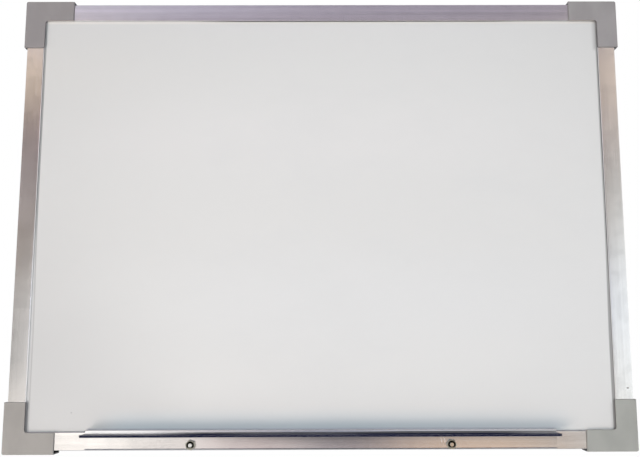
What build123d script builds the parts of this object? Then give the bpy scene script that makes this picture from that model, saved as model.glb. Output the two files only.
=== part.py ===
from build123d import *
import math
import os

# Framed dry erase board with a marker tray, hung on a wall by two sliding clips.
# Millimetres. +X runs along the width, +Z is up, and the wall is the plane Y = 0.
# The front faces -Y. The origin is midway between the two wall screw holes.

# Driving dimensions: the frame
rail_span_x = 606.0
rail_span_z = 450.0
rail_face_width = 17.5
rail_depth = 14.5
rail_wall = 1.2
rail_edge_radius = 0.4
rail_lip_radius = 1.0
screw_drop = 28.0

# Driving dimensions: the channel at the back of each rail and the groove that holds the board
channel_width = 9.4
channel_slot = 5.4
channel_lip = 1.2
board_recess = 2.2
board_bite = 5.4

# Driving dimensions: the layers of the board
sheet_thickness = 0.4
core_thickness = 7.4
backing_thickness = 0.4

# Driving dimensions: the corner caps, and how far each one has settled to the right and up
cap_front = 2.0
cap_wall = 1.2
cap_room = 1.2
cap_back = 1.6
cap_leg = 49.4
cap_overhang = 0.7
cap_corner_radius = 2.0
cap_inner_radius = 3.0
cap_front_radius = 0.8
cap_seats = {
    "top_left": (-0.1, 0.7),
    "top_right": (0.7, 0.6),
    "bottom_left": (-0.3, -1.3),
    "bottom_right": (-0.5, -0.1),
}

# Driving dimensions: the corner keys and their screws
key_leg = 43.0
key_pocket_depth = 6.0
key_pocket_length = 8.0
key_rib = 1.6
screw_reach = 36.0
screw_shank_radius = 1.7
screw_head_radius = 3.2
screw_length = 11.0
screw_cross_width = 0.8
screw_cross_length = 3.6
screw_cross_depth = 0.9

# Driving dimensions: the marker tray and its bolts
tray_length = 453.0
tray_reach = 21.0
tray_flange = 1.5
tray_flange_top = 19.2
tray_flange_foot = 0.5
tray_top_lean = 3.5
tray_top_radius = 0.6
tray_foot_radius = 1.3
tray_shelf = 1.4
tray_shelf_height = 16.0
tray_lip_rise = 0.4
tray_lip_height = 2.6
tray_lip_wall = 1.8
tray_lip_lean = 14.0
tray_lip_radius = 0.3
bolt_spacing = 250.0
bolt_height = 5.1
bolt_radius = 2.08
bolt_head_radius = 3.6
bolt_head_height = 2.2
bolt_end = 1.3
nut_across_flats = 8.7
nut_height = 3.3
nut_bevel_angle = 60.0
nut_turn_left = 17.0
nut_turn_right = 4.0

# Driving dimensions: the wall clips
hanger_spacing = 406.4
hanger_width = 30.0
hanger_metal = 1.3
hanger_tail = 9.0
hanger_corner_radius = 3.0
wall_screw_radius = 2.5

# Named clearances
board_gap = 0.3
key_gap = 0.1
hole_gap = 0.15
thread_gap = 0.03
hanger_gap = 0.3

# Places worked out from the dimensions above
wall_y = 0.0
rail_back_y = wall_y - cap_back
face_y = rail_back_y - rail_depth
top_z = screw_drop
bottom_z = top_z - rail_span_z
middle_z = (top_z + bottom_z) / 2
web_start = rail_wall + channel_width
web_end = web_start + rail_wall
channel_centre = rail_wall + channel_width / 2
slot_start = channel_centre - channel_slot / 2
slot_end = channel_centre + channel_slot / 2
board_depth = sheet_thickness + core_thickness + backing_thickness
groove_back = board_recess + board_depth
board_edge = web_end + board_gap
bite_end = board_edge + board_bite - board_gap

os.makedirs("parts", exist_ok=True)

front = Vector(0, -1, 0)
right = Vector(1, 0, 0)
up = Vector(0, 0, 1)

# Each side of the frame: the middle of its outer edge on the face, the way along it, and the way inwards
sides = {
    "top": (Vector(0, face_y, top_z), -right, -up, rail_span_x),
    "bottom": (Vector(0, face_y, bottom_z), right, up, rail_span_x),
    "left": (Vector(-rail_span_x / 2, face_y, middle_z), -up, right, rail_span_z),
    "right": (Vector(rail_span_x / 2, face_y, middle_z), up, -right, rail_span_z),
}

# Each corner of the frame: its outer point on the face and the way of its first leg
corners = {
    "top_left": (Vector(-rail_span_x / 2, face_y, top_z), -up),
    "top_right": (Vector(rail_span_x / 2, face_y, top_z), -right),
    "bottom_left": (Vector(-rail_span_x / 2, face_y, bottom_z), right),
    "bottom_right": (Vector(rail_span_x / 2, face_y, bottom_z), up),
}


def save(part, name):
    part.label = name
    export_step(part, f"parts/{name}.step")


def rectangle_between(first, second):
    """A rectangle with two opposite corners given."""
    width = second[0] - first[0]
    height = second[1] - first[1]
    with Locations(((first[0] + second[0]) / 2, (first[1] + second[1]) / 2)):
        Rectangle(abs(width), abs(height))


def bolt_holes():
    """The tray's two bolt holes, drawn on the face of the bottom rail."""
    with BuildSketch(Plane((0, face_y, bottom_z + bolt_height), x_dir=right, z_dir=front)) as holes:
        with GridLocations(bolt_spacing, 0, 2, 1):
            Circle(bolt_radius + hole_gap)
    return holes.sketch


def rail_section(plane):
    """The rail's cross-section: across from its outer edge, and forwards from its face."""
    with BuildSketch(plane) as section:
        rectangle_between((0, -rail_wall), (rail_face_width, 0))
        rectangle_between((0, -rail_depth), (rail_wall, 0))
        rectangle_between((rail_face_width - rail_wall, -board_recess), (rail_face_width, 0))
        rectangle_between((web_start, -rail_depth), (web_end, 0))
        rectangle_between((web_start, -groove_back - rail_wall), (bite_end, -groove_back))
        rectangle_between((0, -rail_depth), (slot_start, -rail_depth + channel_lip))
        rectangle_between((slot_end, -rail_depth), (web_end, -rail_depth + channel_lip))
        outer_corner = section.vertices().group_by(Axis.Y)[-1].sort_by(Axis.X)[0]
        fillet(outer_corner, rail_edge_radius)
        inner_corner = section.vertices().group_by(Axis.Y)[-1].sort_by(Axis.X)[-1]
        fillet(inner_corner, rail_lip_radius)
    return section.sketch


# The four rails, mitred at the corners
for side_name, (edge_middle, along, inwards, span) in sides.items():
    with BuildPart() as rail:
        extrude(rail_section(Plane(edge_middle, x_dir=inwards, z_dir=along)), amount=span / 2, both=True)
        with BuildSketch(Plane(edge_middle, x_dir=along, z_dir=front)):
            Polygon(
                (-span / 2, 0),
                (span / 2, 0),
                (span / 2 - rail_face_width, rail_face_width),
                (-span / 2 + rail_face_width, rail_face_width),
                align=None,
            )
        extrude(amount=2 * rail_depth, both=True, mode=Mode.INTERSECT)
        if side_name == "bottom":
            extrude(bolt_holes(), amount=-rail_wall, mode=Mode.SUBTRACT)
    save(rail.part, f"rail_{side_name}")


# The board: writing sheet, core and backing, one behind the other
board_width = rail_span_x - 2 * board_edge
board_height = rail_span_z - 2 * board_edge
layers = {
    "writing_surface": (board_recess, sheet_thickness),
    "core_board": (board_recess + sheet_thickness, core_thickness),
    "backing_sheet": (board_recess + sheet_thickness + core_thickness, backing_thickness),
}
for layer_name, (start, thickness) in layers.items():
    with BuildPart() as layer:
        with BuildSketch(Plane((0, face_y + start, middle_z), x_dir=right, z_dir=front)):
            Rectangle(board_width, board_height)
        extrude(amount=-thickness)
    save(layer.part, layer_name)


def elbow(plane, low, high, end, low_radius, high_radius):
    """An L between two offsets from the frame's outer edges, as long as end from the corner."""
    with BuildSketch(plane) as shape:
        Polygon((low, low), (end, low), (end, high), (high, high), (high, end), (low, end), align=None)
        if low_radius:
            fillet(shape.vertices().sort_by_distance((low, low))[0], low_radius)
        if high_radius:
            fillet(shape.vertices().sort_by_distance((high, high))[0], high_radius)
    return shape.sketch


def screw_points(corner_plane, depth):
    """The two screws of a corner, one on each leg, at a depth behind the face."""
    return [
        corner_plane.from_local_coords((screw_reach, channel_centre, -depth)),
        corner_plane.from_local_coords((channel_centre, screw_reach, -depth)),
    ]


cap_outer = -cap_room - cap_wall
cap_end = cap_outer + cap_leg
cap_inner = rail_face_width + cap_overhang
screw_cone = screw_head_radius - screw_shank_radius

for corner_name, (corner_point, first_leg) in corners.items():
    corner_plane = Plane(corner_point, x_dir=first_leg, z_dir=front)
    seat_right, seat_up = cap_seats[corner_name]
    seat_point = corner_point + right * seat_right + up * seat_up
    seat_plane = Plane(seat_point, x_dir=first_leg, z_dir=front)
    cap_plane = seat_plane.offset(-rail_depth - cap_back)

    # The cap wraps the corner in front, outside and behind, with some room outside the rails
    with BuildPart() as cap:
        outline = elbow(cap_plane, cap_outer, cap_inner, cap_end, cap_corner_radius, cap_inner_radius)
        extrude(outline, amount=cap_front + rail_depth + cap_back)
        fillet(cap.faces().sort_by(Axis.Y)[0].edges(), cap_front_radius)
        with BuildSketch(seat_plane.offset(-rail_depth)):
            rectangle_between((-cap_room, -cap_room), (cap_leg, cap_leg))
        extrude(amount=rail_depth, mode=Mode.SUBTRACT)
        with BuildSketch(cap_plane):
            rectangle_between((web_end, web_end), (cap_leg, cap_leg))
        extrude(amount=cap_back, mode=Mode.SUBTRACT)
        for point in screw_points(corner_plane, rail_depth + cap_back):
            with Locations(Plane(point, x_dir=right, z_dir=-front)):
                CounterSinkHole(
                    radius=screw_shank_radius + hole_gap,
                    counter_sink_radius=screw_head_radius + hole_gap,
                    depth=cap_back,
                    counter_sink_angle=90,
                )
    save(cap.part, f"corner_cap_{corner_name}")

    # The key fills the channels of the two rails that meet here
    key_front = rail_wall + key_gap
    key_back = rail_depth - channel_lip - key_gap
    key_low = rail_wall + key_gap
    key_high = web_start - key_gap
    with BuildPart() as key:
        key_outline = elbow(corner_plane.offset(-key_back), key_low, key_high, key_leg, 0, 0)
        extrude(key_outline, amount=key_back - key_front)
        with BuildSketch(corner_plane.offset(-key_front)):
            for step in range(2):
                place = key_high + key_pocket_length / 2 + key_rib + step * (key_pocket_length + key_rib)
                width = key_high - key_low - 2 * key_rib
                with Locations((place, channel_centre)):
                    Rectangle(key_pocket_length, width)
                with Locations((channel_centre, place)):
                    Rectangle(width, key_pocket_length)
        extrude(amount=-key_pocket_depth, mode=Mode.SUBTRACT)
        for point in screw_points(corner_plane, key_back):
            with Locations(Plane(point, x_dir=right, z_dir=-front)):
                Hole(radius=screw_shank_radius + thread_gap, depth=key_back - key_front)
    save(key.part, f"corner_key_{corner_name}")

    # Two countersunk screws with cross slots
    with BuildPart() as screws:
        for point in screw_points(corner_plane, rail_depth + cap_back):
            head_plane = Plane(point, x_dir=right, z_dir=front)
            with BuildSketch(head_plane):
                Circle(screw_shank_radius)
            extrude(amount=screw_length)
            with BuildSketch(head_plane):
                Circle(screw_head_radius)
            extrude(amount=screw_cone, taper=45)
            with BuildSketch(head_plane):
                Rectangle(screw_cross_length, screw_cross_width)
                Rectangle(screw_cross_width, screw_cross_length)
            extrude(amount=screw_cross_depth, mode=Mode.SUBTRACT)
    save(screws.part, f"cap_screws_{corner_name}")


# The marker tray: a shelf with a lip that leans back, and a flange on the rail's face whose top leans back
tray_plane = Plane((0, face_y, bottom_z), x_dir=front, z_dir=-right)
lip_top = tray_shelf_height + tray_lip_rise
lip_foot = lip_top - tray_lip_height
lip_setback = tray_lip_height * math.tan(math.radians(tray_lip_lean))
shelf_foot = tray_shelf_height - tray_shelf
top_setback = (tray_flange_top - tray_shelf_height) * math.tan(math.radians(tray_top_lean))
with BuildPart() as tray:
    with BuildSketch(tray_plane) as lip:
        Polygon(
            (tray_reach, lip_top),
            (tray_reach - tray_lip_wall, lip_top),
            (tray_reach - tray_lip_wall - lip_setback, lip_foot),
            (tray_reach - lip_setback, lip_foot),
            align=None,
        )
        fillet(lip.vertices(), tray_lip_radius)
    extrude(amount=tray_length / 2, both=True)
    with BuildSketch(tray_plane):
        rectangle_between((0, shelf_foot), (tray_reach - tray_lip_wall, tray_shelf_height))
    extrude(amount=tray_length / 2, both=True)
    with BuildSketch(tray_plane) as flange:
        Polygon(
            (0, tray_flange_foot),
            (tray_flange, tray_flange_foot),
            (tray_flange, tray_shelf_height),
            (tray_flange - top_setback, tray_flange_top),
            (0, tray_flange_top),
            align=None,
        )
        fillet(flange.vertices().sort_by_distance((tray_flange, tray_flange_foot))[0], tray_foot_radius)
        fillet(flange.vertices().sort_by_distance((tray_flange, tray_flange_top))[0], tray_top_radius)
    extrude(amount=tray_length / 2, both=True)
    extrude(bolt_holes(), amount=tray_flange, mode=Mode.SUBTRACT)
save(tray.part, "marker_tray")

# The tray's bolts and nuts: the heads lie in the channel, the nuts on the flange
bolt_sides = {"left": (-1, nut_turn_left), "right": (1, nut_turn_right)}
for bolt_name, (side, nut_turn) in bolt_sides.items():
    bolt_plane = Plane((side * bolt_spacing / 2, face_y, bottom_z + bolt_height), x_dir=right, z_dir=front)
    with BuildPart() as bolt:
        with BuildSketch(bolt_plane.offset(-rail_wall)):
            Circle(bolt_head_radius)
        extrude(amount=-bolt_head_height)
        with BuildSketch(bolt_plane.offset(-rail_wall)):
            Circle(bolt_radius)
        extrude(amount=rail_wall + tray_flange + nut_height + bolt_end)
        chamfer(bolt.edges().sort_by(Axis.Y)[0], bolt_end / 3)
    save(bolt.part, f"tray_bolt_{bolt_name}")

    nut_way = right.rotate(Axis.Y, nut_turn)
    nut_plane = Plane(bolt_plane.offset(tray_flange).origin, x_dir=nut_way, z_dir=front)
    corner_radius = nut_across_flats / 2 / math.cos(math.pi / 6)
    with BuildPart() as nut:
        with BuildSketch(nut_plane):
            RegularPolygon(radius=corner_radius, side_count=6)
        extrude(amount=nut_height)
        with BuildSketch(nut_plane):
            Circle(nut_across_flats / 2 + nut_height * math.tan(math.radians(nut_bevel_angle)))
        extrude(amount=nut_height, taper=nut_bevel_angle, mode=Mode.INTERSECT)
        with BuildSketch(nut_plane):
            Circle(bolt_radius + thread_gap)
        extrude(amount=nut_height, mode=Mode.SUBTRACT)
    save(nut.part, f"tray_nut_{bolt_name}")


# The wall clips: a plate on the wall, a neck through the slot and a finger behind the channel's lip
neck_top = slot_start + hanger_gap
neck_back = neck_top + hanger_metal
tail_end = screw_drop + hanger_tail
finger_top = rail_wall + hanger_gap
finger_back = rail_depth - channel_lip - hanger_gap
plate_front = rail_depth + cap_back - hanger_metal
for hanger_name, side in {"left": -1, "right": 1}.items():
    hanger_x = side * hanger_spacing / 2
    clip_plane = Plane((hanger_x, face_y, top_z), x_dir=-up, z_dir=-right)
    with BuildPart() as hanger:
        with BuildSketch(clip_plane):
            rectangle_between((finger_top, -finger_back), (neck_back, -finger_back + hanger_metal))
            rectangle_between((neck_top, -finger_back), (neck_back, -plate_front))
            rectangle_between((neck_top, -plate_front - hanger_metal), (tail_end, -plate_front))
        extrude(amount=hanger_width / 2, both=True)
        tail_edges = hanger.edges().filter_by(Axis.Y).group_by(Axis.Z)[0]
        fillet(tail_edges, hanger_corner_radius)
        with BuildSketch(Plane((hanger_x, wall_y, top_z - screw_drop), x_dir=right, z_dir=front)):
            Circle(wall_screw_radius)
        extrude(amount=hanger_metal, mode=Mode.SUBTRACT)
    save(hanger.part, f"hanger_{hanger_name}")
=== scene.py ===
import math
import bmesh
import bpy
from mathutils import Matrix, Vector


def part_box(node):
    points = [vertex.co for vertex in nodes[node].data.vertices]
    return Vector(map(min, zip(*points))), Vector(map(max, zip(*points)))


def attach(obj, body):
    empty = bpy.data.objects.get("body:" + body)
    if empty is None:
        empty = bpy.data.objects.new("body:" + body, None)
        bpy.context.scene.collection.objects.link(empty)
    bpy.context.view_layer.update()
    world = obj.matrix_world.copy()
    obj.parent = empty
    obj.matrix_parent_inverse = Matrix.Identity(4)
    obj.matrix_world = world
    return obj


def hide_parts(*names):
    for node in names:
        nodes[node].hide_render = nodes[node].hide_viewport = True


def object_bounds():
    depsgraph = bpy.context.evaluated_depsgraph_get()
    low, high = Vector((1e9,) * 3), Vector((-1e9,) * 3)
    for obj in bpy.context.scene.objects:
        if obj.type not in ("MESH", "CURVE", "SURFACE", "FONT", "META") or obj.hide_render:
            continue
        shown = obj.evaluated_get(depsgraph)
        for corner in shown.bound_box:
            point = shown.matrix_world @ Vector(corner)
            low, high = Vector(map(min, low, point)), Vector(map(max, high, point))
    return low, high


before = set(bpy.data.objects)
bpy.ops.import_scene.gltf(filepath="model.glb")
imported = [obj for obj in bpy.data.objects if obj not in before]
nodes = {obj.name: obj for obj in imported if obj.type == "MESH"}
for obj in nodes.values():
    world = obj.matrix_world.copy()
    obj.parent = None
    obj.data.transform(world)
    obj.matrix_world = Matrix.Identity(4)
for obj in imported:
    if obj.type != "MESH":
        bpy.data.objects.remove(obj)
cad_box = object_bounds()

# The width of a rail's face, and how far the tray's shelf lies under its highest edge
MM = 0.001
RAIL_WIDTH = 17.5 * MM
SHELF_DROP = 3.2 * MM

# Places read from the frame, in metres
rail_low, rail_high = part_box("rail_bottom")
top_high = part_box("rail_top")[1]
tray_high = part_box("marker_tray")[1]
face_y = rail_low.y
opening_side = rail_high.x - RAIL_WIDTH
opening_low = rail_low.z + RAIL_WIDTH
opening_high = top_high.z - RAIL_WIDTH
shelf_z = tray_high.z - SHELF_DROP

# The camera, solved from the photographed outline of the frame
CAMERA_PLACE = Vector((14.2, -831.5, -329.7)) * MM
CAMERA_TURN = (98.541, 0.166, -0.238)
CAMERA_LENS = 46.45
CAMERA_SENSOR = 36.0
CAMERA_SHIFT = -0.03


class Signal:
    """One output of a node, so that sums and products of outputs read as plain arithmetic."""

    def __init__(self, finish, socket):
        self.finish = finish
        self.socket = socket

    def maths(self, operation, first, second):
        return self.finish.add("ShaderNodeMath", {"operation": operation}, {0: first, 1: second})

    def __add__(self, other):
        return self.maths("ADD", self, other)

    def __radd__(self, other):
        return self.maths("ADD", other, self)

    def __sub__(self, other):
        return self.maths("SUBTRACT", self, other)

    def __rsub__(self, other):
        return self.maths("SUBTRACT", other, self)

    def __mul__(self, other):
        return self.maths("MULTIPLY", self, other)

    def __rmul__(self, other):
        return self.maths("MULTIPLY", other, self)

    def __truediv__(self, other):
        return self.maths("DIVIDE", self, other)

    def __pow__(self, other):
        return self.maths("POWER", self, other)

    def most(self, other):
        return self.maths("MAXIMUM", self, other)

    def least(self, other):
        return self.maths("MINIMUM", self, other)

    def size(self):
        return self.maths("ABSOLUTE", self, 0.0)


class Finish:
    """A node tree being wired, for a material or for the world."""

    def __init__(self, owner):
        owner.use_nodes = True
        self.owner = owner
        self.tree = owner.node_tree
        self.tree.nodes.clear()

    def add(self, kind, settings=None, sockets=None, output=0):
        """Adds a node: first its settings, then the values or links of its sockets."""
        node = self.tree.nodes.new(kind)
        for name, value in (settings or {}).items():
            setattr(node, name, value)
        for name, value in (sockets or {}).items():
            if isinstance(value, Signal):
                self.tree.links.new(value.socket, node.inputs[name])
            else:
                node.inputs[name].default_value = value
        return Signal(self, node.outputs[output]) if node.outputs else None

    def place(self):
        """Object coordinates."""
        return self.add("ShaderNodeTexCoord", output="Object")

    def stretched(self, scale, centre=(0, 0, 0)):
        """Object coordinates, moved and then scaled along each axis."""
        moved = self.add("ShaderNodeVectorMath", {"operation": "SUBTRACT"}, {0: self.place(), 1: centre})
        return self.add("ShaderNodeVectorMath", {"operation": "MULTIPLY"}, {0: moved, 1: scale})

    def parts(self, centre=None):
        """The X, Y and Z of Object coordinates, measured from a centre where one is given."""
        vector = self.place() if centre is None else self.stretched((1.0, 1.0, 1.0), centre)
        node = self.add("ShaderNodeSeparateXYZ", sockets={0: vector})
        return [Signal(self, node.socket.node.outputs[axis]) for axis in range(3)]

    def noise(self, vector, scale, detail=2.0, roughness=0.5):
        sockets = {"Vector": vector, "Scale": scale, "Detail": detail, "Roughness": roughness}
        return self.add("ShaderNodeTexNoise", sockets=sockets)

    def ramp(self, value, low, high, start=0.0, end=1.0):
        """A smooth step of value from low to high, giving start to end."""
        sockets = {0: value, 1: low, 2: high, 3: start, 4: end}
        return self.add("ShaderNodeMapRange", {"interpolation_type": "SMOOTHSTEP"}, sockets)

    def mix(self, factor, first, second):
        """Two colours mixed by a factor."""
        return self.add("ShaderNodeMix", {"data_type": "RGBA"}, {0: factor, 6: first, 7: second}, output=2)

    def lit(self, shade, level):
        """A colour times a level."""
        return self.add("ShaderNodeVectorMath", {"operation": "SCALE"}, {0: shade, "Scale": level})

    def bump(self, height, strength, distance):
        sockets = {"Height": height, "Strength": strength, "Distance": distance}
        return self.add("ShaderNodeBump", sockets=sockets)

    def ray(self, kind):
        """1 for one kind of ray, such as Is Camera Ray, and 0 for the others."""
        return self.add("ShaderNodeLightPath", output=kind)

    def glow(self, light):
        """A shader that shines with a colour, whatever the lamps do."""
        return self.add("ShaderNodeEmission", sockets={"Color": light, "Strength": 1.0})

    def mixed(self, factor, first, second):
        """Two shaders mixed by a factor."""
        return self.add("ShaderNodeMixShader", sockets={0: factor, 1: first, 2: second})

    def close(self, shader):
        """Ends a material with its one shader."""
        self.add("ShaderNodeOutputMaterial", sockets={"Surface": shader})
        return self.owner

    def surface(self, **sockets):
        """Ends a material with one Principled shader."""
        named = {name.replace("_", " "): value for name, value in sockets.items()}
        return self.close(self.add("ShaderNodeBsdfPrincipled", sockets=named))


def new_finish(name):
    return Finish(bpy.data.materials.new(name))


def colour(red, green, blue):
    return (red, green, blue, 1.0)


def reach(first, second):
    """How far a point is from the middle, from two of its parts."""
    return (first * first + second * second) ** 0.5


def near_opening(finish, x, z, far, near):
    """Rises from 0 to 1 as a point comes from far to near the frame's opening, on all its sides."""
    inside = finish.ramp(x.size() - opening_side, far, near)
    inside = inside * finish.ramp(opening_low - z, far, near)
    return inside * finish.ramp(z - opening_high, far, near)


# The painted shade in the seam between the rails' inner lips and the board: its width, how far it thins out
# from the sides and the top, and between which places along the rails it does so
SEAM_EDGE = 0.7 * MM
SEAM_SIDES = 20.0 * MM
SEAM_TOP = 10.0 * MM
SEAM_LEFT, SEAM_RIGHT = (-0.16, -0.30), (-0.20, -0.33)
SEAM_TOP_LEFT, SEAM_TOP_RIGHT = (-0.15, -0.08), (0.16, 0.22)


def seam(finish):
    """How much painted shade darkens the rails' inner lips in the seam: least at the top left, and low on
    both sides.
    """
    x, y, z = finish.parts()
    darkness = finish.ramp(y - face_y, SEAM_EDGE * 0.3, SEAM_EDGE, 0.0, 0.78)
    darkness = darkness * near_opening(finish, x, z, SEAM_EDGE, 0.0)
    at_left = finish.ramp(x + opening_side, SEAM_SIDES, 0.0)
    at_right = finish.ramp(opening_side - x, SEAM_SIDES, 0.0)
    at_top = finish.ramp(opening_high - z, SEAM_TOP, 0.0)
    darkness = darkness * (1.0 - at_left * finish.ramp(z, *SEAM_LEFT, 0.15, 0.8))
    darkness = darkness * (1.0 - at_right * finish.ramp(z, *SEAM_RIGHT, 0.0, 0.75))
    darkness = darkness * (1.0 - at_top * finish.ramp(x, *SEAM_TOP_LEFT, 1.0, 0.0))
    return darkness * (1.0 - at_top * finish.ramp(x, *SEAM_TOP_RIGHT, 0.0, 0.5))


# The painted shadow on the enamel beside the rails: a line at the left that drifts inwards and fades
# downwards, with a wider foot, an edge at the right that widens downwards, and the heights where the caps
# begin
LINE_DRIFT, LINE_PLACES = (-0.18, -0.32), (0.9 * MM, 2.8 * MM)
LINE_WIDTH = (1.0 * MM, 0.3 * MM)
LINE_FADE = (-0.28, -0.16)
LINE_FOOT, LINE_FOOT_WIDTH = (-0.374, -0.378), (2.8 * MM, 1.6 * MM)
EDGE_DRIFT, EDGE_WIDTH = 1.3 * MM, (2.0 * MM, 0.8 * MM)
TOP_CAPS, LOW_CAPS = (-0.023, -0.018), (-0.376, -0.381)
CAP_SHADOW_WIDTH = (6.0 * MM, 1.5 * MM)


def edge_shadow(finish):
    """How dark the painted shadow on the enamel is against the rails and the corner caps."""
    x, _, z = finish.parts()
    from_left = x + opening_side
    from_right = opening_side - x
    low = finish.ramp(z, *SEAM_RIGHT)
    line = (from_left - finish.ramp(z, *LINE_DRIFT, *LINE_PLACES)).size()
    left = finish.ramp(line, *LINE_WIDTH) * finish.ramp(z, *LINE_FADE, 0.20, 0.45)
    left = left.most(finish.ramp(from_left, *LINE_FOOT_WIDTH) * finish.ramp(z, *LINE_FOOT, 0.0, 0.58))
    right = finish.ramp(from_right - EDGE_DRIFT * low, *EDGE_WIDTH) * (0.44 + 0.12 * low)
    beside_caps = finish.ramp(z, *TOP_CAPS).most(finish.ramp(z, *LOW_CAPS))
    right = right.most(finish.ramp(from_right, *CAP_SHADOW_WIDTH, 0.0, 0.26) * beside_caps)
    return left.most(right)


# The painted dark reflection on the tray's shelf: how far in front of the rails' face it begins, the skin it
# lies in, where the middle begins and ends, over which depths the ends and the back grow lighter, and a
# lighter spot
SHELF_FROM = (2.0 * MM, 2.6 * MM)
SHELF_SKIN = (-0.10 * MM, -0.02 * MM)
DARK_LEFT, DARK_RIGHT = (-0.175, -0.110), (0.165, 0.215)
LIGHTER_ENDS, LIGHTER_BACK = (19.0 * MM, 1.0 * MM), (9.0 * MM, 1.0 * MM)
SPOT_PLACE, SPOT_REACH = -0.03, (0.08, 0.03)


def shelf_dark_reflection(finish):
    """How much dark navy painted reflection covers the tray's shelf: more towards its lip, and most in the
    middle.
    """
    x, y, z = finish.parts()
    forward = face_y - y
    shelf = finish.ramp(forward, *SHELF_FROM) * finish.ramp(z - shelf_z, *SHELF_SKIN)
    middle = finish.ramp(x, *DARK_LEFT) * finish.ramp(x, *DARK_RIGHT, 1.0, 0.45)
    lighter_ends = finish.ramp(forward, *LIGHTER_ENDS, 0.16, 0.90)
    lighter_back = finish.ramp(forward, *LIGHTER_BACK, 0.0, 0.34)
    off_tone = finish.ramp((x - SPOT_PLACE).size(), *SPOT_REACH, 0.02, 0.09)
    return shelf * (1.0 - lighter_ends * (1.0 - middle) - (lighter_back + off_tone) * middle)


# The tray's flange: its front, and the painted shade under the shelf, in the corner above it and along the
# foot, by height over the foot or the shelf and by place along the tray
FLANGE_FROM, FLANGE_TO = (1.0 * MM, 1.2 * MM), (2.6 * MM, 1.8 * MM)
SHELF_ROOT = 1.0 * MM
UNDER_HEIGHT = (3.0 * MM, 14.0 * MM)
UNDER_LEFT, UNDER_RIGHT = (-0.16, -0.02), (0.03, 0.09)
CORNER_HEIGHT, CORNER_RIGHT = (1.3 * MM, 0.2 * MM), (0.160, 0.215)
CORNER_LIFT, LIFT_PLACE = 0.7 * MM, (0.02, 0.09)
FOOT_HEIGHT, FOOT_LEFT, FOOT_RIGHT = (1.9 * MM, 0.9 * MM), (-0.12, 0.0), (0.19, 0.10)


def flange_shade(finish):
    """How dark the painted shade on the tray's flange is: under the shelf, in the corner above it, and along
    its foot.
    """
    x, y, z = finish.parts()
    forward = face_y - y
    height = z - rail_low.z
    above = z - shelf_z
    front = finish.ramp(forward, *FLANGE_FROM) * finish.ramp(forward, *FLANGE_TO)
    under = finish.ramp(height, *UNDER_HEIGHT) * finish.ramp(above, 0.0, -SHELF_ROOT)
    under = under * (finish.ramp(x, *UNDER_LEFT, 0.0, 0.50) - finish.ramp(x, *UNDER_RIGHT, 0.0, 0.24))
    lifted = above - finish.ramp(x, *LIFT_PLACE, 0.0, CORNER_LIFT)
    corner = finish.ramp(lifted, *CORNER_HEIGHT, 0.0, 0.74) * finish.ramp(above, -SHELF_ROOT, 0.0)
    corner = corner * finish.ramp(x, *DARK_LEFT) * finish.ramp(x, *CORNER_RIGHT, 1.0, 0.7)
    foot = finish.ramp(height, *FOOT_HEIGHT, 0.0, 0.55)
    foot = foot * finish.ramp(x, *FOOT_LEFT) * finish.ramp(x, *FOOT_RIGHT)
    return front * (under + corner + foot)


# The scuffs beside the right nut: half their spacing, their lean, and where each stroke fades
SCUFF_PLACE = Vector((117.0, -16.6, -413.0)) * MM
SCUFF_SPREAD = 1.5 * MM
SCUFF_LEAN = 0.25
SCUFF_WIDTH, SCUFF_LENGTH = (0.55 * MM, 0.2 * MM), (2.6 * MM, 1.2 * MM)
SCUFF_DEPTH = (0.2 * MM, -0.2 * MM)


def scuffs(finish):
    """Two short bright strokes on the tray's flange, beside its right nut."""
    x, y, z = finish.parts(SCUFF_PLACE)
    stroke = finish.ramp(((x + z * SCUFF_LEAN).size() - SCUFF_SPREAD).size(), *SCUFF_WIDTH)
    return stroke * finish.ramp(z.size(), *SCUFF_LENGTH) * finish.ramp(y, *SCUFF_DEPTH)


# The die marks of the extrusions, fine, broad and streaky: how close they lie across, and how slowly they
# change along the run
DIE_LINES = 2600.0
DIE_BANDS = 420.0
DIE_STREAKS = 230.0
DIE_RUN = 4.0

# A small dent in the right rail, wider than it is tall, darkened with painted shade
DENT_PLACE = Vector((297.6, -16.1, -364.6)) * MM
DENT_REACH = (1.5 * MM, 0.7 * MM)
DENT_SQUASH = 3.0


def die_marks(finish, along, across, run=DIE_RUN, shift=(0, 0, 0), detail=1.0, roughness=0.5):
    """Noise that is drawn out along an extrusion's run."""
    scale = [across] * 3
    scale[along] = run
    return finish.noise(finish.stretched(scale, shift), 1.0, detail, roughness)


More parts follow.
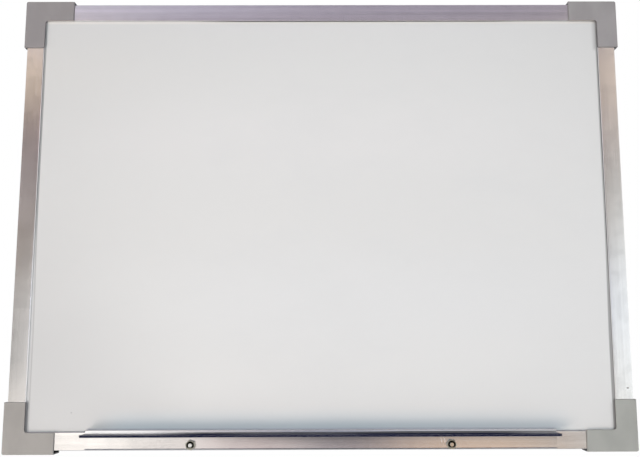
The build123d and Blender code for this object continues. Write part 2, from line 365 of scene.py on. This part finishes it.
def drawn_aluminium(name, along, streaking, smudging):
    """Bright aluminium with the fine die lines of an extrusion along one axis."""
    finish = new_finish(name)
    lines = die_marks(finish, along, DIE_LINES, detail=3.0, roughness=0.6)
    bands = die_marks(finish, along, DIE_BANDS, shift=(0.3, 0.1, 0.7))
    streaks = die_marks(finish, along, DIE_STREAKS, DIE_RUN / 2, (0.1, 0.4, 0.2))
    streaks = finish.ramp(streaks, 0.32, 0.68)
    clouds = finish.noise(finish.place(), 14.0, 2.0)
    smudges = finish.ramp(finish.noise(finish.place(), 70.0, 3.0, 0.6), 0.42, 0.66)
    x, _, z = finish.parts(DENT_PLACE)
    dent = finish.ramp((x * x + z * z * DENT_SQUASH) ** 0.5, *DENT_REACH)
    painted_dark = shelf_dark_reflection(finish)
    scuff = scuffs(finish) * 0.6
    level = 0.922 + 0.12 * lines + 0.06 * bands + streaking * (streaks - 0.5) - smudging * (smudges - 0.5)
    # Painted shade darkens the dent as well as its bump
    level = level * (1.0 - 0.72 * dent)
    # Painted shade darkens the rails' inner lips at the seam, and the tray's flange under and above its
    # shelf
    level = level * (1.0 - seam(finish)) * (1.0 - flange_shade(finish))
    tint = finish.mix(clouds, colour(0.93, 0.915, 0.91), colour(0.89, 0.885, 0.90))
    # A dark navy painted reflection on the tray's shelf
    shade = finish.mix(painted_dark, finish.lit(tint, level), colour(0.006, 0.010, 0.040))
    shade = finish.mix(scuff, shade, colour(0.93, 0.84, 0.80))
    roughness = 0.13 + 0.10 * lines + 0.04 * clouds + 0.60 * painted_dark
    normal = finish.bump(lines * 0.6 + bands * 0.4 - dent * 3.0, 0.22, 0.06 * MM)
    metallic = 1.0 - painted_dark.most(scuff)
    return finish.surface(Base_Color=shade, Metallic=metallic, Roughness=roughness, Normal=normal,
                          Specular_IOR_Level=0.0)


# The painted dark reflection on a nut: how far from its bore it begins and thins out, and how it thins out
# downwards
BORE_CLEAR, NUT_RIM = (1.2 * MM, 1.6 * MM), (4.3 * MM, 3.2 * MM)
NUT_FOOT = (-3.5 * MM, -1.5 * MM)


def zinc_plate(name, grain, light, dull, roughness=0.24, bore=None):
    """Zinc plate with a fine crystal bloom and dulled patches, and a painted dark reflection around a bore.
    """
    finish = new_finish(name)
    cells = {"Vector": finish.place(), "Scale": grain}
    bloom = finish.add("ShaderNodeTexVoronoi", sockets=cells, output="Color")
    bright = finish.add("ShaderNodeRGBToBW", sockets={0: bloom})
    haze = finish.noise(finish.place(), grain * 0.4, 3.0)
    level = 0.82 + 0.10 * bright + 0.10 * haze
    if bore:
        x, _, z = finish.parts(bore)
        away = reach(x, z)
        # A near-black ring of painted dark reflection around the bore, lighter downwards
        dark_ring = finish.ramp(away, *BORE_CLEAR) * finish.ramp(away, *NUT_RIM, 0.22, 1.0)
        dark_ring = dark_ring * finish.ramp(z, *NUT_FOOT, 0.35, 1.0)
        level = level * (1.0 - dark_ring * (1.04 - 0.10 * haze)).most(0.01)
    shade = finish.lit(finish.mix(haze, light, dull), level)
    normal = finish.bump(bright + haze, 0.12, 0.05 * MM)
    return finish.surface(Base_Color=shade, Metallic=1.0, Roughness=roughness + 0.18 * haze, Normal=normal)


def rolled_backing(name):
    """The dull rolled sheet behind the core, with mill streaks and storage marks."""
    finish = new_finish(name)
    streaks = finish.noise(finish.stretched((4.0, 4.0, 420.0)), 1.0, 3.0, 0.6)
    speckle = finish.noise(finish.place(), 900.0, 2.0)
    marks = finish.ramp(finish.noise(finish.place(), 11.0, 4.0, 0.65), 0.45, 0.70)
    shade = finish.mix(marks * 0.26 + streaks * 0.40, colour(0.50, 0.50, 0.49), colour(0.36, 0.355, 0.34))
    normal = finish.bump(streaks * 0.7 + speckle * 0.3, 0.25, 0.08 * MM)
    roughness = 0.42 + 0.16 * marks + 0.08 * speckle
    return finish.surface(Base_Color=shade, Metallic=0.75, Roughness=roughness, Normal=normal)


# The inside of a corner cap, painted near-black as shade: its wall, its open ends, the skin that counts as
# outside the rails, and how far behind the rails' face and in front of the wall the room lies
CAP_WALL = (0.8 * MM, 1.0 * MM)
CAP_END_FROM, CAP_END = 0.3 * MM, 0.1 * MM
RAIL_SKIN = 0.1 * MM
ROOM_FRONT, ROOM_BACK = (0.1 * MM, 0.3 * MM), (-0.2 * MM, -0.5 * MM)

# The caps' walls that face the board, painted with light and shade: where they begin in front of the rails'
# face, how near the opening they lie, and which of them face sideways
WALL_DEPTH = (-1.7 * MM, -1.2 * MM)
WALL_FAR, WALL_NEAR = 0.95 * MM, 0.85 * MM
SIDE_WALL = (-3.0 * MM, -1.8 * MM)


def hollow(finish, cap):
    """Where a corner cap is hollow: the room between it and the rails, open at its two ends."""
    low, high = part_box(cap)
    side, corner_x = (-1.0, low.x) if low.x < 0 else (1.0, high.x)
    rise, corner_z = (-1.0, low.z) if low.z < opening_low else (1.0, high.z)
    leg = high.x - low.x
    x, y, z = finish.parts()
    across = (corner_x - x) * side
    down = (corner_z - z) * rise
    inner = finish.ramp(across.least(down), *CAP_WALL)
    end = finish.ramp(across.most(down), leg - CAP_END_FROM, leg - CAP_END)
    outside = finish.ramp(x.size(), rail_high.x - RAIL_SKIN, rail_high.x)
    outside = outside.most(finish.ramp(z, rail_low.z + RAIL_SKIN, rail_low.z))
    outside = outside.most(finish.ramp(z, top_high.z - RAIL_SKIN, top_high.z))
    between = finish.ramp(y - face_y, *ROOM_FRONT) * finish.ramp(y, *ROOM_BACK)
    return inner.most(end) * outside * between


def inner_walls(finish):
    """The corner caps' walls that face the board, behind their rounded front edges."""
    x, y, z = finish.parts()
    return finish.ramp(y - face_y, *WALL_DEPTH) * near_opening(finish, x, z, WALL_FAR, WALL_NEAR)


def moulded_plastic(name, light, dark, roughness, cap=None):
    """Moulded plastic with a fine spark texture and faint flow marks."""
    finish = new_finish(name)
    spark = finish.noise(finish.place(), 5200.0, 2.0)
    flow = finish.noise(finish.stretched((40.0, 40.0, 24.0)), 1.0, 3.0, 0.55)
    shade = finish.mix(finish.ramp(flow, 0.35, 0.68), light, dark)
    if cap:
        x, _, _ = finish.parts()
        # Walls facing the board get painted light and shade: warm on the level walls, dark on the sideways
        # ones
        facing_side = finish.ramp(x.size() - opening_side, *SIDE_WALL)
        wall = finish.mix(facing_side, colour(0.46, 0.40, 0.36), colour(0.085, 0.080, 0.090))
        shade = finish.mix(inner_walls(finish) * 0.85, shade, wall)
        # Near-black painted shade inside the cap's hollow and on its open ends
        shade = finish.mix(hollow(finish, cap), shade, colour(0.004, 0.004, 0.005))
    normal = finish.bump(spark, 0.16, 0.04 * MM)
    matte = roughness + 0.10 * spark + 0.06 * flow
    return finish.surface(Base_Color=shade, Roughness=matte, Normal=normal)


# The enamel's painted shade: a greyer rim around a centre, and a darker low left
SHEET_CENTRE = Vector((46.0, 0.0, -197.0)) * MM
RIM_ACROSS, RIM_UP, RIM_FADE = 11.8, 22.0, (0.25, 2.2)
GREY_ACROSS, GREY_UP = (-0.15, -0.31), (0.06, -0.18)

# A stray speck of ink
SPECK_PLACE = Vector((-241.8, 0.0, -386.6)) * MM
SPECK_REACH = (0.9 * MM, 0.3 * MM)

# The painted shadow over the tray, and the painted dark line right above it: heights over the tray, and
# places along it
SHADE_HEIGHT = 24.0 * MM
SHADE_LEFT, SHADE_MIDDLE, SHADE_RIGHT = (-0.228, -0.185), (0.12, 0.21), (0.250, 0.220)
LINE_HEIGHT, LINE_ENDS = (1.7 * MM, 0.7 * MM), (0.228, 0.224)

# The warm strip of painted light under the top rail
TOP_STRIP = (3.0 * MM, 1.5 * MM)


def white_enamel(name):
    """The glossy writing face: baked enamel, with a faint ripple and the haze of wiped marks."""
    finish = new_finish(name)
    ripple = finish.noise(finish.place(), 260.0, 2.0)
    wipes = finish.noise(finish.stretched((7.0, 1.0, 16.0), (0.2, 0.0, 0.1)), 1.0, 4.0, 0.6)
    haze = finish.ramp(wipes, 0.42, 0.72)
    shade = finish.mix(haze, colour(0.775, 0.775, 0.772), colour(0.760, 0.761, 0.760))
    x, _, z = finish.parts(SHEET_CENTRE)
    # Painted shade: a greyer rim, and a darker low left
    rim = finish.ramp(x * x * RIM_ACROSS + z * z * RIM_UP, *RIM_FADE)
    shade = finish.mix(rim, shade, colour(0.700, 0.700, 0.697))
    low_left = finish.ramp(x, *GREY_ACROSS) * finish.ramp(z, *GREY_UP)
    shade = finish.mix(low_left * 0.85, shade, colour(0.620, 0.620, 0.622))
    x, _, z = finish.parts(SPECK_PLACE)
    speck = finish.ramp(reach(x, z), *SPECK_REACH)
    shade = finish.mix(speck * 0.6, shade, colour(0.30, 0.31, 0.33))
    x, _, z = finish.parts()
    over_tray = z - tray_high.z
    # Bluish painted shadow of the tray on the enamel above it
    painted_dark = finish.ramp(over_tray, SHADE_HEIGHT, 0.0) * finish.ramp(x, *SHADE_LEFT)
    painted_dark = painted_dark * finish.ramp(x, *SHADE_MIDDLE, 1.0, 0.7) * finish.ramp(x, *SHADE_RIGHT)
    shade = finish.mix(painted_dark, shade, colour(0.645, 0.705, 0.745))
    # A thin dark line of painted shade right above the tray
    contact = finish.ramp(over_tray, *LINE_HEIGHT) * finish.ramp(x.size(), *LINE_ENDS)
    shade = finish.mix(contact * 0.40, shade, colour(0.40, 0.39, 0.48))
    # A warm strip of painted light under the top rail
    shade = finish.mix(finish.ramp(opening_high - z, *TOP_STRIP), shade, colour(0.80, 0.785, 0.76))
    # Near-black painted shadow against the rails and the corner caps
    shade = finish.mix(edge_shadow(finish), shade, colour(0.035, 0.030, 0.035))
    normal = finish.bump(ripple, 0.05, 0.04 * MM)
    return finish.surface(Base_Color=shade, Roughness=0.13 + 0.07 * haze, Normal=normal)


def pressed_fibre(name):
    """The brown pressed fibre of the core."""
    finish = new_finish(name)
    fibre = finish.noise(finish.stretched((900.0, 300.0, 900.0)), 1.0, 4.0, 0.7)
    fleck = finish.ramp(finish.noise(finish.place(), 1400.0, 1.0), 0.55, 0.75)
    shade = finish.mix(fibre, colour(0.33, 0.22, 0.13), colour(0.52, 0.39, 0.26))
    shade = finish.mix(fleck * 0.5, shade, colour(0.18, 0.11, 0.07))
    return finish.surface(Base_Color=shade, Roughness=0.85, Normal=finish.bump(fibre, 0.5, 0.2 * MM))


def dress(node_name, material):
    """Gives a frame node its finish."""
    slots = nodes[node_name].data.materials
    slots.clear()
    slots.append(material)


# The rails and the tray, each with its die lines along its run
AXIS_X, AXIS_Z = 0, 2
across_metal = drawn_aluminium("aluminium_across", AXIS_X, streaking=0.08, smudging=0.035)
upright_metal = drawn_aluminium("aluminium_upright", AXIS_Z, streaking=0.02, smudging=0.075)
for piece in ("rail_top", "rail_bottom", "marker_tray"):
    dress(piece, across_metal)
for piece in ("rail_left", "rail_right"):
    dress(piece, upright_metal)

# The board's layers
dress("writing_surface", white_enamel("writing_enamel"))
dress("core_board", pressed_fibre("core_fibre"))
dress("backing_sheet", rolled_backing("backing_metal"))

# The caps, each with its own grey as painted light and shade, the bottom ones lighter, and what is at the
# corners behind them
CAP_SHADES = {
    "top_left": (0.328, 0.306, 0.309),
    "top_right": (0.334, 0.315, 0.318),
    "bottom_left": (0.385, 0.366, 0.347),
    "bottom_right": (0.380, 0.385, 0.360),
}
CAP_WEAR = 0.895
FINE_GRAIN, SHEET_GRAIN = 900.0, 160.0
ZINC, DULL_ZINC = colour(0.80, 0.79, 0.76), colour(0.70, 0.72, 0.76)
OLIVE, DULL_OLIVE = colour(0.86, 0.85, 0.72), colour(0.74, 0.75, 0.64)
key_plastic = moulded_plastic("key_plastic", colour(0.030, 0.030, 0.033), colour(0.020, 0.020, 0.022), 0.45)
zinc_small = zinc_plate("fastener_zinc", FINE_GRAIN, ZINC, DULL_ZINC)
for corner, shade in CAP_SHADES.items():
    cap = "corner_cap_" + corner
    off_tone = colour(*(CAP_WEAR * level for level in shade))
    dress(cap, moulded_plastic("plastic_" + corner, colour(*shade), off_tone, 0.40, cap))
    dress("corner_key_" + corner, key_plastic)
    dress("cap_screws_" + corner, zinc_small)

# The nuts and the wall clips
zinc_sheet = zinc_plate("clip_zinc", SHEET_GRAIN, ZINC, DULL_ZINC)
for side in ("left", "right"):
    nut_low, nut_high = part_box("tray_nut_" + side)
    bore = (nut_low + nut_high) / 2
    dress("tray_nut_" + side, zinc_plate("nut_zinc_" + side, FINE_GRAIN, OLIVE, DULL_OLIVE, bore=bore))
    dress("hanger_" + side, zinc_sheet)


def meshed(shape, name, material):
    """Turns a bmesh into an object with one material."""
    mesh = bpy.data.meshes.new(name)
    shape.to_mesh(mesh)
    shape.free()
    mesh.materials.append(material)
    thing = bpy.data.objects.new(name, mesh)
    bpy.context.collection.objects.link(thing)
    return thing


# The tray's bolts: the head, the thread, and how far the thread starts from the head and stops from the tip
HEAD_HEIGHT = 2.2 * MM
HEAD_CHAMFER = 0.4 * MM
THREAD_RADIUS = 2.08 * MM
THREAD_PITCH = 0.8 * MM
THREAD_DEPTH = 0.3 * MM
THREAD_START = 0.3 * MM
THREAD_STOP = 0.4 * MM
THREAD_SEGMENTS = 40
SAME_POINT = 0.001 * MM
bolt_zinc = zinc_plate("bolt_zinc", FINE_GRAIN, colour(0.86, 0.90, 0.90), colour(0.80, 0.84, 0.85), 0.05)


def threaded_bolt(name, node_name):
    """A bolt with a round head and a cut thread, spun about its own axis."""
    low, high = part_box(node_name)
    centre = (low + high) / 2
    head_radius = (high.x - low.x) / 2
    root_radius = THREAD_RADIUS - THREAD_DEPTH
    head_back, tip = high.y, low.y
    head_front = head_back - HEAD_HEIGHT
    outline = [(0.0, head_back), (head_radius - HEAD_CHAMFER, head_back),
               (head_radius, head_back - HEAD_CHAMFER), (head_radius, head_front),
               (THREAD_RADIUS, head_front)]
    place = head_front - THREAD_START
    while place - THREAD_PITCH > tip + THREAD_STOP:
        outline.append((THREAD_RADIUS, place))
        outline.append((root_radius, place - THREAD_PITCH / 2))
        place -= THREAD_PITCH
    outline += [(THREAD_RADIUS, place), (root_radius, tip), (0.0, tip)]
    shape = bmesh.new()
    ring = [shape.verts.new((centre.x + radius, y, centre.z)) for radius, y in outline]
    edges = [shape.edges.new(pair) for pair in zip(ring, ring[1:])]
    bmesh.ops.spin(shape, geom=ring + edges, cent=centre, axis=(0, 1, 0), dvec=(0, 0, 0),
                   angle=2 * math.pi, steps=THREAD_SEGMENTS, use_merge=True, use_duplicate=False)
    bmesh.ops.remove_doubles(shape, verts=shape.verts, dist=SAME_POINT)
    bmesh.ops.recalc_face_normals(shape, faces=shape.faces)
    bolt = meshed(shape, name, bolt_zinc)
    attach(bolt, "board")
    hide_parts(node_name)


for side in ("left", "right"):
    threaded_bolt("threaded_bolt_" + side, "tray_bolt_" + side)

# The studio: a pale floor that fades out, a white background and a soft surround for the metal
FLOOR_DROP = 0.93
FLOOR_RADIUS = 1.9
FLOOR_SEGMENTS = 96
FLOOR_FADE = (FLOOR_RADIUS * 0.45, FLOOR_RADIUS * 0.98)


def staged(shape, name, material):
    """Turns a bmesh into an object with one material, for the studio."""
    thing = meshed(shape, name, material)
    return thing


def floor_finish():
    """Pale paint that fades into the white background, for the camera alone."""
    finish = new_finish("pale_floor")
    x, y, _ = finish.parts()
    fade = finish.ramp(reach(x, y), *FLOOR_FADE) * finish.ray("Is Camera Ray")
    paint = finish.add("ShaderNodeBsdfDiffuse", sockets={"Color": colour(0.86, 0.86, 0.86)})
    return finish.close(finish.mixed(fade, paint, finish.glow(colour(1.0, 1.0, 1.0))))


disc = bmesh.new()
bmesh.ops.create_circle(disc, cap_ends=True, segments=FLOOR_SEGMENTS, radius=FLOOR_RADIUS)
bmesh.ops.translate(disc, verts=disc.verts, vec=(0, 0, cad_box[0].z - FLOOR_DROP))
staged(disc, "floor", floor_finish())

# The card in front of the board that only reflections see, with its clear rim
CARD_PLACE = -1.8
CARD_LEFT, CARD_RIGHT = -1.7, 1.7
CARD_LOW, CARD_HIGH = -1.0, 1.3
CARD_EDGE = 0.25

# The card's light, and its soft patches: middle across and up, reach across and up, light. Another program
# fitted these numbers to the metal in the photograph, and some were then changed
CARD_LIGHT = (0.204, 0.164, 0.132)
CARD_PATCHES = [
    ((0.142, 1.080), (1.460, 0.329), (0.382, 0.362, 0.497)),
    ((-0.972, 1.014), (0.818, 0.226), (0.715, 0.700, 0.930)),
    ((-1.080, 0.545), (0.452, 0.126), (1.290, 1.010, 0.700)),
    ((-0.950, 0.338), (0.660, 0.200), (0.030, 0.030, 0.030)),
    ((-0.730, -0.365), (0.660, 0.142), (0.030, 0.030, 0.034)),
    ((-0.503, -0.549), (0.526, 0.167), (1.775, 1.698, 1.594)),
    ((0.355, -0.730), (0.349, 0.370), (0.642, 0.364, 0.170)),
    ((0.121, -0.177), (0.748, 0.134), (0.475, 0.560, 0.760)),
    ((1.180, -0.333), (0.239, 0.704), (1.770, 1.880, 1.890)),
    ((1.056, 0.603), (0.122, 0.170), (1.497, 1.259, 1.042)),
    ((0.058, -0.539), (0.167, 0.264), (0.072, 0.072, 0.118)),
    ((-1.214, 0.185), (0.236, 0.090), (0.861, 0.757, 0.752)),
    ((-0.263, -0.689), (0.138, 0.262), (0.465, 0.350, 0.342)),
    ((-0.543, -0.538), (0.104, 0.096), (0.030, 0.030, 0.030)),
    ((-0.080, 0.366), (0.812, 0.095), (0.874, 0.668, 0.742)),
    ((-0.711, -0.239), (0.209, 0.223), (1.416, 1.419, 1.398)),
    ((0.482, -0.445), (0.429, 0.140), (0.700, 0.706, 0.695)),
    ((-0.850, 0.893), (0.239, 0.165), (0.607, 0.601, 0.767)),
]

# The dark flags under and over the board, from corner to corner, and their light
LOW_FLAG = ((-0.62, -0.92, -0.74), (0.62, -0.14, -0.74))
LOW_FLAG_LIGHT = (0.002, 0.005, 0.034)
HIGH_FLAG = ((-2.0, -1.9, 1.9), (2.0, 0.9, 1.9))
HIGH_FLAG_LIGHT = (0.10, 0.10, 0.12)


def card_finish():
    """What the front of the metal mirrors: a large card with soft patches, clear towards its rim."""
    finish = new_finish("front_card")
    x, _, z = finish.parts()
    light = colour(*CARD_LIGHT)
    for (across, up), (reach_across, reach_up), patch in CARD_PATCHES:
        side = (x - across) / reach_across
        rise = (z - up) / reach_up
        light = finish.mix(finish.ramp(side * side + rise * rise, 0.0, 2.0, 1.0, 0.0), light, colour(*patch))
    rim = finish.ramp(x, CARD_LEFT, CARD_LEFT + CARD_EDGE)
    rim = rim * finish.ramp(x, CARD_RIGHT, CARD_RIGHT - CARD_EDGE)
    rim = rim * finish.ramp(z, CARD_LOW, CARD_LOW + CARD_EDGE)
    rim = rim * finish.ramp(z, CARD_HIGH, CARD_HIGH - CARD_EDGE)
    clear = finish.add("ShaderNodeBsdfTransparent")
    return finish.close(finish.mixed(rim, clear, finish.glow(light)))


def flag_finish(name, light):
    """A dark flag that keeps one side of the metal from washing out."""
    finish = new_finish(name)
    cloth = finish.noise(finish.place(), 3.0, 1.0)
    shade = finish.mix(cloth * 0.3, colour(*light), colour(*(0.6 * level for level in light)))
    return finish.close(finish.glow(shade))


def mirrored_card(name, low, high, material):
    """A flat card between two corners that only reflections see."""
    middle = (Vector(low) + Vector(high)) / 2
    size = Vector(high) - Vector(low)
    thin = min(range(3), key=lambda axis: size[axis])
    first, second = [axis for axis in range(3) if axis != thin]
    shape = bmesh.new()
    bmesh.ops.create_grid(shape, x_segments=1, y_segments=1, size=0.5)
    for vertex in shape.verts:
        place = middle.copy()
        place[first] += vertex.co.x * size[first]
        place[second] += vertex.co.y * size[second]
        vertex.co = place
    card = staged(shape, name, material)
    card.visible_camera = False
    card.visible_diffuse = False
    card.visible_transmission = False
    card.visible_shadow = False


card_corners = (CARD_LEFT, CARD_PLACE, CARD_LOW), (CARD_RIGHT, CARD_PLACE, CARD_HIGH)
mirrored_card("front_card", *card_corners, card_finish())
mirrored_card("low_flag", *LOW_FLAG, flag_finish("low_flag", LOW_FLAG_LIGHT))
mirrored_card("high_flag", *HIGH_FLAG, flag_finish("high_flag", HIGH_FLAG_LIGHT))

sky = Finish(bpy.data.worlds.new("studio"))
bpy.context.scene.world = sky.owner
shown = sky.ray("Is Camera Ray").most(sky.ray("Is Glossy Ray")).most(sky.ray("Is Transmission Ray"))
ambient = sky.add("ShaderNodeBackground", sockets={"Color": colour(0.95, 0.97, 1.0), "Strength": 0.25})
white = sky.add("ShaderNodeBackground", sockets={"Color": colour(1.0, 1.0, 1.0), "Strength": 1.0})
sky.add("ShaderNodeOutputWorld", sockets={"Surface": sky.mixed(shown, ambient, white)})

BOARD_MIDDLE = (0.0, 0.0, -0.2)
TRAY_MIDDLE = (0.25, 0.0, -0.40)
BROAD_LAMP, SMALL_LAMP = (2.2, 1.6), (1.1, 0.80)


def lamp(name, place, target, size, power, tint):
    """A soft area lamp that lights the object but isn't mirrored in it."""
    data = bpy.data.lights.new(name, "AREA")
    data.shape = "RECTANGLE"
    data.size, data.size_y = size
    data.energy = power
    data.color = tint
    thing = bpy.data.objects.new(name, data)
    thing.location = place
    thing.rotation_euler = (Vector(target) - Vector(place)).to_track_quat("-Z", "Y").to_euler()
    thing.visible_glossy = False
    bpy.context.collection.objects.link(thing)


lamp("front_lamp", (0.45, -2.3, 0.10), BOARD_MIDDLE, BROAD_LAMP, power=29.6, tint=(0.91, 0.96, 1.0))
lamp("low_lamp", (-0.90, -1.54, -1.25), TRAY_MIDDLE, SMALL_LAMP, power=24.5, tint=(1.0, 0.88, 0.79))
lamp("back_lamp", (-0.5, 2.3, 0.5), BOARD_MIDDLE, BROAD_LAMP, power=30.0, tint=(0.98, 0.99, 1.0))

camera = bpy.data.objects.new("camera", bpy.data.cameras.new("camera"))
camera.data.sensor_width = CAMERA_SENSOR
camera.data.lens = CAMERA_LENS
camera.data.shift_x = CAMERA_SHIFT
camera.location = CAMERA_PLACE
camera.rotation_euler = [math.radians(angle) for angle in CAMERA_TURN]
bpy.context.collection.objects.link(camera)
bpy.context.scene.camera = camera
bpy.context.scene.view_settings.view_transform = "Standard"
